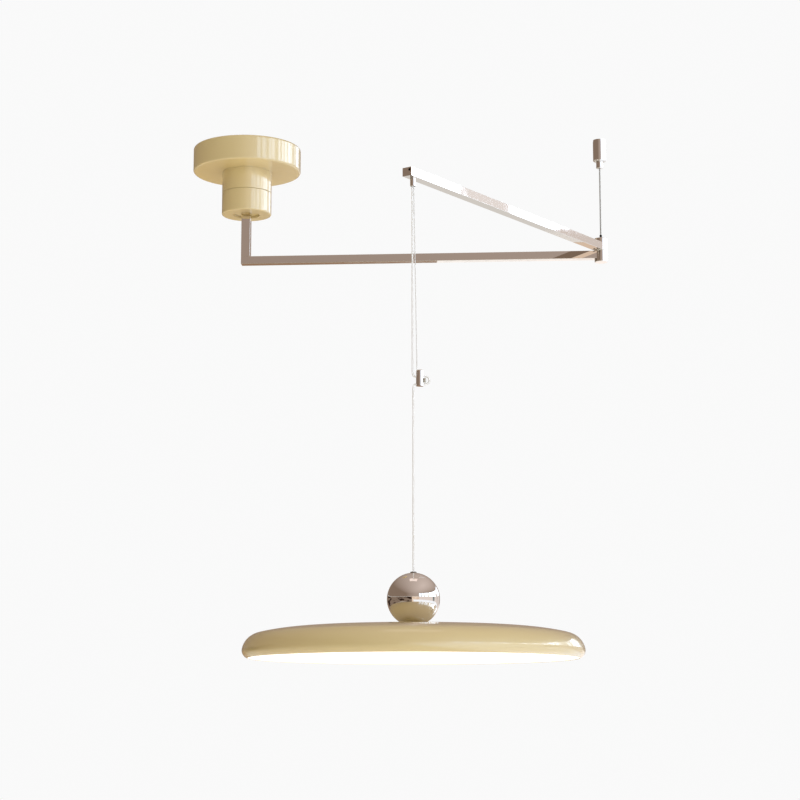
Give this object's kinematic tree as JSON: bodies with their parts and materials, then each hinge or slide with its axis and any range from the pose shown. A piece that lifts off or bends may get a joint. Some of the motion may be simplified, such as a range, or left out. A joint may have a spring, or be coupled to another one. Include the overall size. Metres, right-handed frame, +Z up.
{
  "type": "swing arm pendant light",
  "caption": "Ceiling pendant on a folding two-part swing arm, with a wire-braced elbow, a cord adjuster, a ball weight and a wide saucer shade with a flat lit diffuser.",
  "frame": {"origin": "centre of the canopy's mounting face, on the ceiling", "axes": "+Z up into the ceiling, +X along the first arm at rest, -Y towards the room's viewer"},
  "size_m": [0.6573, 0.7469, 0.8312],
  "materials": {
    "cream_lacquer": "satin cream lacquer on metal",
    "shade_lacquer": "satin cream lacquer on spun aluminium",
    "polished_chrome": "polished chrome plating",
    "zinc_steel": "dull zinc-plated steel",
    "black_steel": "blackened steel",
    "wire_steel": "stranded steel wire",
    "nylon": "natural nylon",
    "foam": "closed-cell foam",
    "driver_plastic": "white moulded plastic",
    "cord_pvc": "white translucent cord sheath",
    "tray_aluminium": "plain aluminium sheet",
    "board_white": "white solder mask",
    "led_phosphor": "yellow phosphor",
    "opal_diffuser": "opal acrylic, lit from behind",
    "brass": "plain turned brass"
  },
  "bodies": {
    "ceiling_mount": {"ceiling_gasket": "foam", "ceiling_plate": "zinc_steel", "canopy_cup": "cream_lacquer", "canopy_nut": "zinc_steel", "neck": "cream_lacquer", "neck_nut": "zinc_steel", "spindle": "zinc_steel", "swivel_locknut": "zinc_steel", "wave_washer": "zinc_steel", "thrust_washer": "nylon", "driver_case": "driver_plastic", "terminal_block": "nylon", "swivel_lead": "cord_pvc"},
    "first_arm": {"swivel_hub": "zinc_steel", "swivel_collar": "cream_lacquer", "collar_screws": "zinc_steel", "post_flange": "cream_lacquer", "arm_post": "polished_chrome", "first_arm_tube": "polished_chrome", "lower_knuckle": "polished_chrome", "first_tenon_screw": "black_steel", "elbow_pivot": "zinc_steel", "elbow_washer": "nylon", "elbow_cap": "polished_chrome", "first_arm_lead": "cord_pvc", "wire_ferrule": "black_steel", "support_wire": "wire_steel", "gripper_cap": "polished_chrome", "gripper_barrel": "polished_chrome", "gripper_spring": "zinc_steel"},
    "plunger": {"gripper_plunger": "polished_chrome", "gripper_balls": "zinc_steel"},
    "second_arm": {"upper_knuckle": "polished_chrome", "second_arm_tube": "polished_chrome", "second_tenon_screw": "black_steel", "arm_end_cap": "polished_chrome", "end_cap_screw": "black_steel", "cord_nipple": "polished_chrome", "nipple_ring": "brass", "second_arm_lead": "cord_pvc"},
    "pendant": {"upper_cord": "cord_pvc", "hanger_wire": "wire_steel", "cord_adjuster": "polished_chrome", "cord_loop": "cord_pvc", "lower_cord": "cord_pvc"},
    "clamp": {"clamp_screw": "black_steel"},
    "lamp_head": {"ball_bush": "polished_chrome", "ball_shell": "polished_chrome", "stem": "zinc_steel", "stem_cap": "brass", "cord_crimp": "brass", "ball_nut": "zinc_steel", "ball_seat": "cream_lacquer", "shade_shell": "shade_lacquer", "led_tray": "tray_aluminium", "led_board": "board_white", "led_chips": "led_phosphor", "tray_nut": "zinc_steel", "diffuser": "opal_diffuser", "diffuser_standoffs": "nylon"}
  },
  "joints": [
    {"name": "arm_swivel", "type": "hinge", "parent": "ceiling_mount", "child": "first_arm", "pos_m": [0, 0, -0.0875], "axis": [0, 0, 1], "range_deg": [-170, 170]},
    {"name": "arm_fold", "type": "hinge", "parent": "first_arm", "child": "second_arm", "pos_m": [0.5616, 0, -0.172], "axis": [0, 0, 1], "range_deg": [-50.4, 129.6]},
    {"name": "plunger_press", "type": "slide", "parent": "first_arm", "child": "plunger", "axis": [0, 0, 1], "range_m": [0, 0.0025], "stiffness_N_per_m": 400, "springref_m": -0.002, "deforming": ["gripper_spring"]},
    {"name": "pendant_swing", "type": "hinge", "parent": "second_arm", "child": "pendant", "pos_m": [0.29311, -0.43643, -0.1885], "axis": [0, 1, 0], "range_deg": [-15, 15]},
    {"name": "height_adjust", "type": "slide", "parent": "pendant", "child": "lamp_head", "axis": [0, 0, 1], "range_m": [0, 0.2], "deforming": ["lower_cord"]},
    {"name": "clamp_turn", "type": "hinge", "parent": "pendant", "child": "clamp", "pos_m": [0.30701, -0.43643, -0.4605], "axis": [1, 0, 0], "range_deg": [0, 360]}
  ]
}
